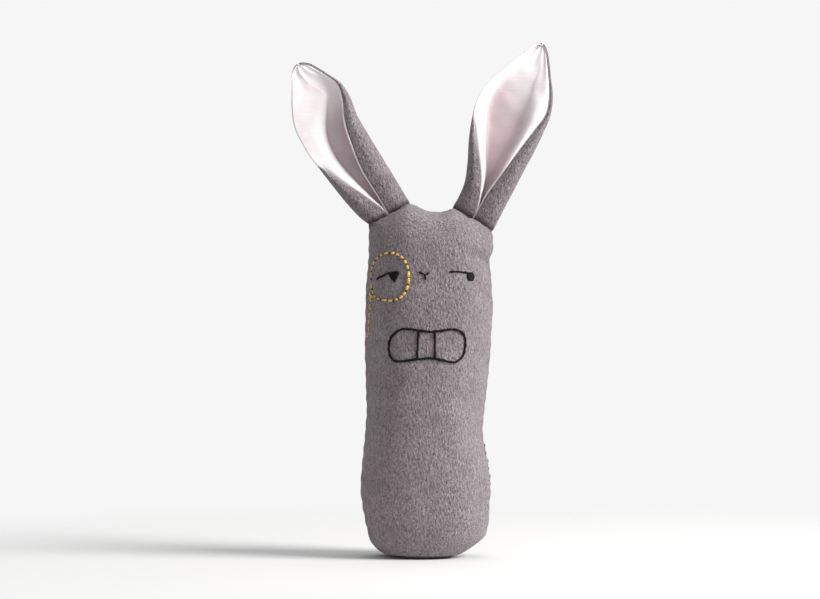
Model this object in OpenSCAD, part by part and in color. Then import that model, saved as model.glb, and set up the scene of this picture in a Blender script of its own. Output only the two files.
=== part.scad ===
// Stuffed bunny rabbit: a slim two-panel wool body, sewn all round and stuffed, with two long
// satin-lined ears caught in the slanted shoulder seams and a face embroidered on the front panel.
// It stands on the flattened bottom of the body. +Z runs up the toy, the face looks to -Y and
// left and right are the viewer's. All sizes are in millimetres.

/* [Body] */
// Widest side to side of the stuffed body
body_w = 50; // [36:1:72]
// Height of the body from the surface it stands on to the top seam
body_l = 137; // [115:1:180]
// Front to back of the stuffed body
body_d = 40; // [30:1:56]
// Squareness of the body's sections, where 2 is an ellipse
body_round = 2.3; // [2:0.1:3]

/* [Fabric] */
// Thickness of the wool cloth
wool_t = 1.2; // [0.8:0.1:1.6]
// Thickness of the satin lining of the ears
lining_t = 0.5; // [0.3:0.1:0.7]
// Depth of the seam allowance turned inside the top seam
seam_allowance = 3; // [2:0.5:5]

/* [Ears] */
// Length of an ear from its seam to its tip
ear_l = 70; // [55:1:90]
// Widest part of an ear as it lies folded
ear_w = 27; // [20:1:34]
// Width of the folded base of an ear along its seam
ear_base_w = 18; // [14:0.5:22]
// Distance of the left ear's seam from the middle of the body
left_ear_x = 14.3; // [11:0.1:17]
// Distance of the right ear's seam from the middle of the body
right_ear_x = 18; // [14:0.1:21]
// Slope of the left ear's seam
left_seam_slope = 28; // [15:1:35]
// Slope of the right ear's seam
right_seam_slope = 29; // [15:1:35]
// Lean of the left ear away from the square to its seam
left_ear_lean = 3; // [-10:1:10]
// Lean of the right ear away from the square to its seam
right_ear_lean = 9; // [-10:1:12]

/* [Face] */
// Thickness of the black embroidery thread
black_thread = 0.9; // [0.5:0.1:1.2]
// Thickness of the gold embroidery thread
gold_thread = 1.0; // [0.5:0.1:1.3]
// Height of the middle of the eyes above the base
eye_z = 109.3; // [95:0.1:112]
// Height of the middle of the mouth above the base
mouth_z = 82; // [60:0.5:90]
// Width of the mouth
mouth_w = 29; // [20:0.5:34]
// Height of the mouth
mouth_h = 12; // [8:0.5:16]
// Width of the monocle
monocle_w = 15.2; // [11:0.2:17]
// Height of the monocle
monocle_h = 19; // [14:0.2:20]
// Number of gold stitches round the monocle
monocle_stitches = 23; // [15:1:28]

/* [Hidden] */

// Clearances and thread sizes that the pieces share
fit = 0.1;
soft_gap = 0.3;
seam_thread = 0.4;
panel_gap = seam_thread + fit;

// Body outline: height, left edge, right edge and half depth, as shares of body_l, body_w / 2,
// body_w / 2 and body_d / 2. The first row is the flat patch that the toy stands on.
BODY_ROWS = [
    [0.000, -0.50, 0.46, 0.54], [0.016, -0.70, 0.60, 0.72], [0.037, -0.85, 0.77, 0.82],
    [0.073, -0.93, 0.93, 0.91], [0.131, -0.99, 0.98, 0.96], [0.204, -1.02, 0.99, 0.99],
    [0.292, -1.00, 0.94, 1.00], [0.401, -0.93, 0.90, 1.00], [0.511, -0.94, 0.95, 1.00],
    [0.620, -0.95, 0.98, 0.98], [0.730, -0.94, 1.00, 0.94], [0.803, -0.93, 0.97, 0.89],
    [0.861, -0.92, 1.01, 0.81], [0.905, -0.91, 1.05, 0.68], [0.942, -0.90, 1.05, 0.51],
    [0.971, -0.90, 1.04, 0.33], [0.990, -0.89, 1.02, 0.16], [1.000, -0.89, 1.01, 0.00]
];
BODY_COLUMNS = 16;
slot_margin = 1.5 * body_w / BODY_COLUMNS;
shoulder_share = 0.861;
base_seam_share = 0.8;
base_fade = 6;

// Ear rows: height as a share of the length, half width as a share of the widest half width, and
// fold angle, fold radius and turned-over flap at each side
EAR_ROWS = [
    [0.04, 0.68, 180, 1.5, 3.5], [0.10, 0.71, 165, 1.7, 3.5], [0.20, 0.79, 145, 2.6, 3.5],
    [0.32, 0.87, 125, 3.8, 3.0], [0.45, 0.95, 105, 5.0, 2.5], [0.58, 1.00, 85, 6.5, 2.0],
    [0.70, 0.97, 65, 8.0, 1.8], [0.80, 0.86, 50, 8.0, 1.5], [0.88, 0.66, 40, 7.0, 1.2],
    [0.95, 0.40, 30, 5.0, 0.8], [1.00, 0.14, 20, 2.0, 0.4]
];
fold_steps = 5;
// The tightest fold holds the wool round two layers of lining, and the ear's base is as thick as
// that fold. It turns about a line that clears the top of the sewn-in base.
fold_radius = wool_t + lining_t / 2 + 0.25;
hinge_r = fold_radius + wool_t / 2;
hinge_rise = hinge_r + soft_gap + 0.5;
ear_start = 0.6;
tab_t = 1.9;
tab_depth = 4.5;

// ---------- Body surface ----------

function body_row(k) = [BODY_ROWS[k][0] * body_l, BODY_ROWS[k][1] * body_w / 2,
                        BODY_ROWS[k][2] * body_w / 2, BODY_ROWS[k][3] * body_d / 2];
function column_of(z, c) = lookup(z, [for (k = [0:len(BODY_ROWS) - 1]) [body_row(k)[0], body_row(k)[c]]]);
function left_edge(z) = column_of(z, 1);
function right_edge(z) = column_of(z, 2);
function half_depth(z) = column_of(z, 3);
function body_mid(z) = (left_edge(z) + right_edge(z)) / 2;
function body_half(z) = (right_edge(z) - left_edge(z)) / 2;

// Height of the ridge of the top seam: the two sloping ear seams with a dip between them
left_seam_z = body_l - 0.5 - ear_base_w / 2 * sin(left_seam_slope) + 0.7;
right_seam_z = body_l - 1.3 - ear_base_w / 2 * sin(right_seam_slope) + 0.4;
ridge_dip = 2.6;
function left_line(x) = left_seam_z + (x + left_ear_x) * tan(left_seam_slope);
function right_line(x) = right_seam_z - (x - right_ear_x) * tan(right_seam_slope);
function ridge(x) = min(left_line(x), right_line(x), body_l - ridge_dip * exp(-pow((x - 3.5) / 5, 2)));

// How far a point of the body drops to follow the ridge, from none at the shoulder to all at the top
function ridge_share(z) = max(0, (z / body_l - shoulder_share) / (1 - shoulder_share));
function drop(x, z) = (ridge(x) - body_l) * pow(ridge_share(z), 1.3);

// Y of the front surface at x and z, and the direction square to it
function front_y(x, z) =
    let (s = min(0.999, abs(x - body_mid(z)) / body_half(z)))
    -panel_gap / 2 - half_depth(z) * pow(1 - pow(s, body_round), 1 / body_round);
function unit(v) = v / norm(v);
function front_normal(x, z) =
    let (a = body_half(z), b = half_depth(z), s = (x - body_mid(z)) / a,
         y = (front_y(x, z) + panel_gap / 2) / b)
    unit([sign(s) * pow(abs(s), body_round - 1) / a, -pow(abs(y), body_round - 1) / b, 0]);
function on_front(x, z, lift) = [x, front_y(x, z), z] + front_normal(x, z) * lift;

// One point of a ring round half of the body. inset draws the ring inwards, side is -1 in front
function ring_point(k, i, side, inset, top_cut) =
    let (row = body_row(k), angle = 180 * i / BODY_COLUMNS, e = 2 / body_round,
         half = (row[2] - row[1]) / 2 - inset, mid = (row[1] + row[2]) / 2,
         c = cos(angle), x = mid + half * sign(c) * pow(abs(c), e),
         deep = max(0, row[3] - inset) * pow(sin(angle), e),
         z = row[0] + inset * pow(1 - row[0] / body_l, base_fade) - top_cut * ridge_share(row[0]))
    [x, side * (panel_gap / 2 + slot(k, x) + deep), z + drop(x, row[0])];

// Extra opening of the top seam where an ear's base passes between the panels
function slot(k, x) =
    k < len(BODY_ROWS) - 1 ? 0
    : (tab_t - panel_gap) / 2 * max(in_seam(x, -left_ear_x, left_seam_slope),
                                    in_seam(x, right_ear_x, right_seam_slope));
function in_seam(x, at, slope) = abs(x - at) < ear_base_w / 2 * cos(slope) + slot_margin ? 1 : 0;

// The seam row lies on the flat patch, so that the panels meet under the toy
function base_seam_point(i, side, inset) =
    let (p = ring_point(0, i, side, inset, 0), row = body_row(0), mid = (row[1] + row[2]) / 2)
    [mid + (p[0] - mid) * base_seam_share, side * panel_gap / 2, inset];

function panel_grid(side, inset, top_cut) = concat(
    [[for (i = [0:BODY_COLUMNS]) base_seam_point(i, side, inset)]],
    [for (k = [0:len(BODY_ROWS) - 1]) [for (i = [0:BODY_COLUMNS]) ring_point(k, i, side, inset, top_cut)]]
);

// ---------- Shared solids ----------

function flat_list(rows) = [for (row = rows) for (p = row) p];

// A closed sheet between two grids of the same size, its squares cut along the diagonal that
// mirrors from one half to the other. flip turns its faces round
module sheet_solid(grid_a, grid_b, flip = false) {
    rows = len(grid_a);
    cols = len(grid_a[0]);
    n = rows * cols;
    corners = [for (r = [0:rows - 2]) for (c = [0:cols - 2])
        [r * cols + c, r * cols + c + 1, (r + 1) * cols + c + 1, (r + 1) * cols + c, c < cols / 2 - 1]];
    border = concat([for (c = [0:cols - 2]) [c, c + 1]],
                    [for (r = [0:rows - 2]) [r * cols + cols - 1, (r + 1) * cols + cols - 1]],
                    [for (c = [cols - 1:-1:1]) [(rows - 1) * cols + c, (rows - 1) * cols + c - 1]],
                    [for (r = [rows - 1:-1:1]) [r * cols, (r - 1) * cols]]);
    front = [for (q = corners) for (t = q[4] ? [[q[0], q[1], q[2]], [q[0], q[2], q[3]]]
                                           : [[q[0], q[1], q[3]], [q[1], q[2], q[3]]]) t];
    back = [for (t = front) [t[2] + n, t[1] + n, t[0] + n]];
    rim = [for (e = border) for (t = [[e[1], e[0], e[0] + n], [e[1], e[0] + n, e[1] + n]]) t];
    faces = concat(front, back, rim);
    polyhedron(concat(flat_list(grid_a), flat_list(grid_b)),
               flip ? [for (t = faces) [t[2], t[1], t[0]]] : faces, convexity = 8);
}

// A thread swept along points, each with the direction square to the cloth under it
THREAD_SIDES = 6;
module thread(points, normals, r, closed = false) {
    n = len(points);
    rings = [for (k = [0:n - 1])
        let (before = closed ? points[(k + n - 1) % n] : points[max(0, k - 1)],
             after = closed ? points[(k + 1) % n] : points[min(n - 1, k + 1)],
             across = unit(cross(unit(after - before), normals[k])))
        [for (j = [0:THREAD_SIDES - 1])
            let (a = 360 * j / THREAD_SIDES) points[k] + r * (cos(a) * normals[k] + sin(a) * across)]];
    spans = closed ? n : n - 1;
    sides = [for (k = [0:spans - 1]) for (j = [0:THREAD_SIDES - 1])
        let (a = k * THREAD_SIDES, b = (k + 1) % n * THREAD_SIDES, i = (j + 1) % THREAD_SIDES)
        for (t = [[a + j, b + j, b + i], [a + j, b + i, a + i]]) t];
    caps = closed ? []
        : [[for (j = [0:THREAD_SIDES - 1]) j],
           [for (j = [THREAD_SIDES - 1:-1:0]) (n - 1) * THREAD_SIDES + j]];
    polyhedron(flat_list(rings), concat(sides, caps), convexity = 8);
}

// A thread laid on the front panel along points given by x and z
module laid_thread(route, d, closed = false) {
    lift = d / 2 + fit / 2;
    thread([for (p = route) on_front(p[0], p[1], lift)], [for (p = route) front_normal(p[0], p[1])],
           d / 2, closed);
}

// Smooth curve through points, with steps points to each span
function smooth_point(a, b, c, d, t) =
    0.5 * (2 * b + (c - a) * t + (2 * a - 5 * b + 4 * c - d) * t * t + (3 * b - a - 3 * c + d) * t * t * t);
function smooth(points, steps) =
    let (n = len(points))
    [for (k = [0:n - 1]) for (s = [0:steps - 1])
        smooth_point(
            points[(k + n - 1) % n], points[k], points[(k + 1) % n], points[(k + 2) % n], s / steps)];
function between(a, b, steps) = [for (s = [0:steps]) a + (b - a) * s / steps];

// ---------- Body ----------

module body_panel(side) {
    sheet_solid(panel_grid(side, 0, 0), panel_grid(side, wool_t, seam_allowance), side > 0);
}

module body_front_panel() {
    color("#8c8488") body_panel(-1);
}

module body_back_panel() {
    color("#857d81") body_panel(1);
}

// Fibre filling, clear of the panels and of the ear bases that hang inside the top seam
module body_stuffing() {
    inset = wool_t + 2 * soft_gap;
    top_cut = seam_allowance + tab_depth + 2;
    half_ring = function (k, side) [for (i = [0:BODY_COLUMNS - 1])
        ring_point(k, side < 0 ? i : BODY_COLUMNS - i, side, inset, top_cut)];
    rings = [for (k = [0:len(BODY_ROWS) - 2]) concat(half_ring(k, -1), half_ring(k, 1))];
    n = len(rings);
    m = len(rings[0]);
    sides = [for (k = [0:n - 2]) for (j = [0:m - 1])
        let (i = (j + 1) % m)
        for (t = [[k * m + j, (k + 1) * m + j, (k + 1) * m + i], [k * m + j, (k + 1) * m + i, k * m + i]]) t];
    bottom = [for (j = [0:m - 1]) [n * m, j, (j + 1) % m]];
    top = [for (j = [0:m - 1]) [n * m + 1, (n - 1) * m + (j + 1) % m, (n - 1) * m + j]];
    mid_top = rings[n - 1][BODY_COLUMNS / 2];
    color("white")
        polyhedron(concat(flat_list(rings), [[0, 0, inset], [mid_top[0], 0, mid_top[2]]]),
                   concat(sides, bottom, top), convexity = 6);
}

// Machine thread in the seam between the panels: down one side, under the toy and up the other
module body_seam_thread() {
    in = wool_t / 2;
    last = len(BODY_ROWS) - 3;
    left = [for (k = [last:-1:0]) ring_point(k, BODY_COLUMNS, 0, in, in)];
    right = [for (k = [0:last]) ring_point(k, 0, 0, in, in)];
    route = concat(left, right);
    color("#6f686c") thread(route, [for (p = route) [0, 1, 0]], seam_thread / 2);
}

// Hand stitches that close the turning gap, low on the right side seam
module closing_stitches() {
    stitches = 8;
    bottom_z = 0.16 * body_l;
    pitch = 3;
    lift = seam_thread / 2 + fit;
    reach = 1.6;
    color("#6f686c")
    for (k = [0:stitches - 1]) {
        z = bottom_z + k * pitch;
        x = right_edge(z) + lift;
        thread([[x - 0.05, -reach, z - 0.5], [x + 0.1, 0, z], [x - 0.05, reach, z + 0.5]],
               [[1, 0, 0], [1, 0, 0], [1, 0, 0]], seam_thread / 2);
    }
}

// ---------- Face ----------

satin_pitch = black_thread + fit;

module left_eye_stitches() {
    color("#141014") {
        laid_thread([[-19.3, eye_z - 1.0], [-17.0, eye_z + 0.4], [-14.6, eye_z + 1.1], [-10.7, eye_z + 1.3]],
                    black_thread);
        for (k = [1:2])
            laid_thread([[-13.9 + 0.5 * k, eye_z + 1.2 - k * satin_pitch],
                         [-10.6 - 0.5 * k, eye_z + 1.2 - k * satin_pitch]], black_thread);
    }
}

module right_eye_stitches() {
    color("#141014") {
        laid_thread([[9.2, eye_z + 1.6], [12.2, eye_z + 1.7], [15.2, eye_z + 1.4], [17.6, eye_z + 0.9]],
                    black_thread);
        for (k = [1:2])
            laid_thread([[15.5 + 0.3 * k, eye_z + 1.0 - k * satin_pitch],
                         [19.0 - 0.3 * k, eye_z + 1.0 - k * satin_pitch]], black_thread);
    }
}

nose_z = eye_z + 2.5;
module nose_stitches() {
    color("#141014") {
        laid_thread([[-2.7, nose_z + 1.1], [-0.85, nose_z + 0.45]], black_thread);
        laid_thread([[1.2, nose_z + 1.2], [0.2, nose_z], [-0.3, nose_z - 2.1]], black_thread);
    }
}

// Half of the mouth outline as shares of its half width and half height, waisted in the middle
MOUTH_HALF = [
    [0, 0.86], [0.40, 0.95], [0.78, 1.00], [0.99, 0.55], [0.98, -0.25], [0.78, -0.96], [0.35, -0.86]
];
mouth_x = 0.4;
function mouth_outline() = concat(
    [for (p = MOUTH_HALF) [mouth_x + p[0] * mouth_w / 2, mouth_z + p[1] * mouth_h / 2]],
    [[mouth_x, mouth_z - 0.78 * mouth_h / 2]],
    [for (k = [len(MOUTH_HALF) - 1:-1:1])
        [mouth_x - MOUTH_HALF[k][0] * mouth_w / 2, mouth_z + MOUTH_HALF[k][1] * mouth_h / 2]]
);

module mouth_stitches() {
    color("#141014") laid_thread(smooth(mouth_outline(), 4), black_thread, closed = true);
}

module teeth_stitches() {
    top = mouth_z + 0.86 * mouth_h / 2 - black_thread - 2 * fit;
    bottom = mouth_z - 0.78 * mouth_h / 2 + black_thread + 2 * fit;
    color("#141014")
    for (x = [-0.22, 0.22])
        laid_thread(between([mouth_x + x * mouth_w / 2, top], [mouth_x + x * mouth_w / 2, bottom], 4),
                    black_thread);
}

// Points along the monocle's rim, where turn runs from 0 to 1
monocle_x = 14.1;
function monocle_point(turn) =
    [-monocle_x + monocle_w / 2 * cos(360 * turn), eye_z + monocle_h / 2 * sin(360 * turn)];
gold_share = 0.68;
dark_share = 0.12;

module monocle_part(from, share, d) {
    for (k = [0:monocle_stitches - 1]) {
        steps = 2;
        laid_thread(
            [for (s = [0:steps]) monocle_point((k + from + share * s / steps) / monocle_stitches)], d);
    }
}

module monocle_rim_stitches() {
    color("#c9a050") monocle_part(0, gold_share, gold_thread);
}

module monocle_dark_stitches() {
    color("#2a1d18") monocle_part((1 + gold_share - dark_share) / 2, dark_share, gold_thread / 2);
}

// Running stitches that hang from the monocle down the left side
module monocle_cord_stitches() {
    stitches = 5;
    pitch = 3.1;
    length = 2.2;
    x = 0.9 * left_edge(eye_z - monocle_h);
    color("#c9a050")
    for (k = [0:stitches - 1]) {
        z = eye_z - monocle_h / 2 - 1.2 - k * pitch;
        laid_thread(between([x - 0.1 * k, z], [x - 0.1 * k - 0.1, z - length], 2), gold_thread);
    }
}

// ---------- Ears ----------

// One side of an ear's section, as x, y and the direction it heads in, from the middle to the edge
function half_section(row, d) =
    let (hw = row[1] * ear_w / 2, angle = row[2], r = max(row[3], fold_radius), flap = row[4],
         c = hw - r * sin(min(angle, 90)) - (angle < 90 ? flap * cos(angle) : 0))
    concat([for (s = [0, 0.5]) [c * s, -d]],
           [for (s = [0:fold_steps]) let (a = angle * s / fold_steps)
               [c + (r - d) * sin(a), -r + (r - d) * cos(a)]],
           [[c + (r - d) * sin(angle) + flap * cos(angle),
             -r + (r - d) * cos(angle) - flap * sin(angle)]]);

function section(row, d) =
    let (half = half_section(row, d), n = len(half))
    concat([for (k = [n - 1:-1:1]) [-half[k][0], half[k][1]]], half);

// Grid of one layer of an ear in the ear's own frame: x along the seam, z up the ear, hinge at z 0
squeeze_rows = [[-0.93, 0.30], [-0.70, 0.62], [-0.35, 0.85]];
function ear_row_points(row, z, squeeze, lean, d) =
    [for (p = section(row, d)) [p[0] - z * tan(lean), (p[1] + fold_radius) * squeeze, z]];
function ear_grid(lean, d) = concat(
    [for (q = squeeze_rows) ear_row_points(EAR_ROWS[0], q[0] * hinge_r, q[1], lean, d)],
    [for (row = EAR_ROWS)
        ear_row_points(row, row[0] * ear_l * cos(lean) - hinge_rise + ear_start, 1, lean, d)]
);

module ear_layer(lean, d_out, d_in) {
    sheet_solid(ear_grid(lean, d_out), ear_grid(lean, d_in), flip = true);
}

// Places an ear on its seam. side is -1 for the left ear and 1 for the right
module at_ear(side, rise) {
    x = side < 0 ? -left_ear_x : right_ear_x;
    z = side < 0 ? left_seam_z : right_seam_z;
    slope = side < 0 ? left_seam_slope : right_seam_slope;
    translate([x, 0, z]) rotate([0, side * slope, 0]) translate([0, 0, rise]) children();
}

module ear_wool(side, lean) {
    color("#8c8488") at_ear(side, hinge_rise) ear_layer(lean, -wool_t / 2, wool_t / 2);
}

module ear_lining(side, lean) {
    inner = wool_t / 2 + fit;
    color("#e8e0e4") at_ear(side, hinge_rise) ear_layer(lean, inner, inner + lining_t);
}

// Thread along the open edges of an ear, from the base round the tip to the base
module ear_edge_thread(side, lean) {
    skip = len(squeeze_rows) + 1;
    layer = ear_grid(lean, (wool_t + lining_t + fit) / 2 - wool_t / 2);
    edge = [for (k = [skip:len(layer) - 1]) layer[k]];
    m = len(layer[0]) - 1;
    out = seam_thread / 2 + 2 * fit;
    step_out = function (row, a, b) row[a] + unit(row[a] - row[b]) * out;
    up = [for (row = edge) step_out(row, 0, 1)];
    down = [for (k = [len(edge) - 1:-1:0]) step_out(edge[k], m, m - 1)];
    tip = (edge[len(edge) - 1][0] + edge[len(edge) - 1][m]) / 2 + [0, 0, out];
    route = concat(up, [tip], down);
    color("#7d7579") at_ear(side, hinge_rise) thread(route, [for (p = route) [0, -1, 0.02]], seam_thread / 2);
}

// The part of the folded ear that is caught in the top seam
module ear_base(side) {
    w = ear_base_w - 2;
    color("#8c8488") at_ear(side, 0)
        translate([-w / 2, -tab_t / 2 + fit, -tab_depth])
            cube([w, tab_t - 2 * fit, tab_depth + hinge_rise - hinge_r - soft_gap]);
}

module left_ear_base() { ear_base(-1); }
module left_ear_wool() { ear_wool(-1, left_ear_lean); }
module left_ear_lining() { ear_lining(-1, left_ear_lean); }
module left_ear_edge_thread() { ear_edge_thread(-1, left_ear_lean); }
module right_ear_base() { ear_base(1); }
module right_ear_wool() { ear_wool(1, right_ear_lean); }
module right_ear_lining() { ear_lining(1, right_ear_lean); }
module right_ear_edge_thread() { ear_edge_thread(1, right_ear_lean); }

body_front_panel();
body_back_panel();
body_stuffing();
body_seam_thread();
closing_stitches();
left_eye_stitches();
right_eye_stitches();
nose_stitches();
mouth_stitches();
teeth_stitches();
monocle_rim_stitches();
monocle_dark_stitches();
monocle_cord_stitches();
left_ear_base();
left_ear_wool();
left_ear_lining();
left_ear_edge_thread();
right_ear_base();
right_ear_wool();
right_ear_lining();
right_ear_edge_thread();
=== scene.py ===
"""Looks of the stuffed bunny rabbit: stuffed wool body, satin-lined ears and embroidered face.

Lengths in the tables are in millimetres and are turned into metres where the meshes are made.
Left and right are the viewer's, and the face looks to -Y.
"""
import math

import bpy
import numpy as np
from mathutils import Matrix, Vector
from mathutils.bvhtree import BVHTree


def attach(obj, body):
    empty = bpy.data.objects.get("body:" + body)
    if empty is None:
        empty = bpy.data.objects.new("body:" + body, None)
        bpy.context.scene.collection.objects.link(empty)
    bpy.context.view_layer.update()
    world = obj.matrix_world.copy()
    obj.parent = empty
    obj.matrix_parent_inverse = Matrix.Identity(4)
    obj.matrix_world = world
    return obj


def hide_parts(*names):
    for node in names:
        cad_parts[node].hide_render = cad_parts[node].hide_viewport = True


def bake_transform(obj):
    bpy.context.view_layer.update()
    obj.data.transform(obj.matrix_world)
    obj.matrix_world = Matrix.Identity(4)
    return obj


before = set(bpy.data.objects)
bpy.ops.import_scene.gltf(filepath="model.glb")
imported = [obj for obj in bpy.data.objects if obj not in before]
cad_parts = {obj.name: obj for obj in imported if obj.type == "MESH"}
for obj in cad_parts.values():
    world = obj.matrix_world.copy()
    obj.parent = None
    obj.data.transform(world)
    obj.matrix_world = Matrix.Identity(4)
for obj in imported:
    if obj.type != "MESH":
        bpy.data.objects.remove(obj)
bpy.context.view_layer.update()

MM = 0.001
rng = np.random.default_rng(7)

# ---------------------------------------------------------------- camera

FRAME_WIDTH = 0.3203
CAMERA_LENS = 135.0
SENSOR_WIDTH = 36.0
CAMERA_TARGET = (-0.00625, 0.0, 0.1002)


def make_camera():
    data = bpy.data.cameras.new("camera")
    data.lens = CAMERA_LENS
    data.sensor_width = SENSOR_WIDTH
    data.clip_start, data.clip_end = 0.01, 20.0
    camera = bpy.data.objects.new("camera", data)
    bpy.context.scene.collection.objects.link(camera)
    distance = FRAME_WIDTH * CAMERA_LENS / SENSOR_WIDTH
    camera.location = (CAMERA_TARGET[0], -distance, CAMERA_TARGET[2])
    camera.rotation_euler = (math.radians(90), 0, 0)
    bpy.context.scene.camera = camera


make_camera()

# ---------------------------------------------------------------- node helpers


def srgb(r, g, b):
    """Linear colour of an 8-bit sRGB one."""
    linear = [((c / 255 + 0.055) / 1.055) ** 2.4 if c > 10 else c / 255 / 12.92 for c in (r, g, b)]
    return (*linear, 1.0)


class Nodes:
    """A material with a Principled shader and short calls to add nodes to it."""

    def __init__(self, name, roughness, sheen=0.0, specular=0.3):
        self.material = bpy.data.materials.new(name)
        self.material.use_nodes = True
        self.tree = self.material.node_tree
        self.shader = self.tree.nodes["Principled BSDF"]
        self.shader.inputs["Roughness"].default_value = roughness
        self.shader.inputs["Specular IOR Level"].default_value = specular
        self.shader.inputs["Sheen Weight"].default_value = sheen
        self.shader.inputs["Sheen Roughness"].default_value = 0.5

    def add(self, kind, **values):
        node = self.tree.nodes.new(kind)
        for key, value in values.items():
            if hasattr(node, key):
                setattr(node, key, value)
            else:
                node.inputs[key.replace("_", " ")].default_value = value
        return node

    def link(self, source, target):
        self.tree.links.new(source, target)

    def rest(self, scale=(1, 1, 1), turn=(0, 0, 0)):
        """Place on the cloth at rest, in millimetres, so that a pattern stays on cloth that bends."""
        place = self.add("ShaderNodeAttribute", attribute_name="rest_mm")
        mapping = self.add("ShaderNodeMapping")
        mapping.inputs["Scale"].default_value = scale
        mapping.inputs["Rotation"].default_value = turn
        self.link(place.outputs["Vector"], mapping.inputs["Vector"])
        return mapping.outputs["Vector"]

    def shade(self):
        """How much painted shade the cloth gets, from 0 to 1, set where it lies in a fold or crease."""
        return self.add("ShaderNodeAttribute", attribute_name="shade").outputs["Fac"]

    def noise(self, vector, scale, detail=2.0, roughness=0.5, distortion=0.0):
        node = self.add("ShaderNodeTexNoise", Scale=scale, Detail=detail, Roughness=roughness,
                        Distortion=distortion)
        self.link(vector, node.inputs["Vector"])
        return node.outputs["Fac"]

    def voronoi(self, vector, scale, feature="F1", randomness=1.0):
        node = self.add("ShaderNodeTexVoronoi", feature=feature, Scale=scale, Randomness=randomness)
        self.link(vector, node.inputs["Vector"])
        return node.outputs["Distance"]

    def ramp(self, value, stops):
        node = self.add("ShaderNodeValToRGB")
        ramp = node.color_ramp
        while len(ramp.elements) < len(stops):
            ramp.elements.new(0.5)
        for element, (place, colour) in zip(ramp.elements, stops):
            element.position = place
            element.color = colour if len(colour) == 4 else (*colour, 1)
        self.link(value, node.inputs["Fac"])
        return node.outputs["Color"]

    def math(self, operation, a, b=0.5):
        node = self.add("ShaderNodeMath", operation=operation)
        for socket, value in zip(node.inputs, (a, b)):
            if isinstance(value, (int, float)):
                socket.default_value = value
            else:
                self.link(value, socket)
        return node.outputs["Value"]

    def mix(self, factor, a, b, blend_type="MIX"):
        node = self.add("ShaderNodeMix", data_type="RGBA", blend_type=blend_type)
        for socket, value in ((node.inputs["Factor"], factor), (node.inputs[6], a), (node.inputs[7], b)):
            if isinstance(value, (int, float, tuple)):
                socket.default_value = value
            else:
                self.link(value, socket)
        return node.outputs[2]

    def bump(self, height, distance, strength=1.0, under=None):
        node = self.add("ShaderNodeBump", Strength=strength, Distance=distance)
        self.link(height, node.inputs["Height"])
        if under is not None:
            self.link(under, node.inputs["Normal"])
        return node.outputs["Normal"]

    def finish(self, colour, normal=None, roughness=None):
        self.link(colour, self.shader.inputs["Base Color"])
        if normal is not None:
            self.link(normal, self.shader.inputs["Normal"])
        if roughness is not None:
            self.link(roughness, self.shader.inputs["Roughness"])
        return self.material


def grey(value):
    return (value, value, value)


# ---------------------------------------------------------------- materials


def wool_material():
    """Heathered grey-mauve wool: short fibres over a soft twill, dark pores and pale flecks, with painted
    shade in the creases.
    """
    m = Nodes("wool", roughness=0.95, sheen=0.30, specular=0.08)
    m.shader.inputs["Sheen Tint"].default_value = (0.88, 0.82, 0.86, 1)
    upright = m.rest(scale=(1.0, 1.0, 0.55), turn=(0, math.radians(14), 0))
    twill = m.rest(scale=(1.0, 1.0, 0.50), turn=(0, math.radians(-28), 0))
    fibres = m.noise(upright, 1.55, detail=3.0, roughness=0.66, distortion=0.4)
    yarn = m.noise(twill, 1.15, detail=2.0, roughness=0.6)
    cloudy = m.noise(m.rest(), 0.13, detail=3.0)
    flecks = m.noise(m.rest(scale=(1.1, 1.1, 0.7)), 2.3, detail=1.0)
    pores = m.voronoi(upright, 1.15)
    base = m.ramp(fibres, [(0.30, srgb(70, 62, 66)), (0.50, srgb(120, 110, 114)),
                           (0.70, srgb(164, 155, 159))])
    base = m.mix(m.ramp(yarn, [(0.40, grey(0.0)), (0.64, grey(0.60))]), base, srgb(149, 140, 144))
    base = m.mix(m.ramp(pores, [(0.04, grey(0.65)), (0.32, grey(0.0))]), base, srgb(58, 51, 55))
    base = m.mix(m.ramp(flecks, [(0.62, grey(0.0)), (0.73, grey(0.70))]), base, srgb(192, 184, 188))
    base = m.mix(m.ramp(cloudy, [(0.35, grey(0.0)), (0.70, grey(0.35))]), base, srgb(108, 101, 104))
    # Painted shade: darkens the wool towards near-black where the shade attribute marks creases at the ears'
    # feet and along the side seams.
    base = m.mix(m.shade(), base, srgb(38, 31, 35))
    height = m.math("ADD", m.math("MULTIPLY", fibres, 0.9), m.math("MULTIPLY", yarn, 0.7))
    height = m.math("ADD", height, m.math("MULTIPLY", pores, 0.5))
    fuzz = m.noise(m.rest(), 3.6, detail=2.0)
    normal = m.bump(fuzz, 0.00014, 0.7, under=m.bump(height, 0.0006, 1.0))
    return m.finish(base, normal)


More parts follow.
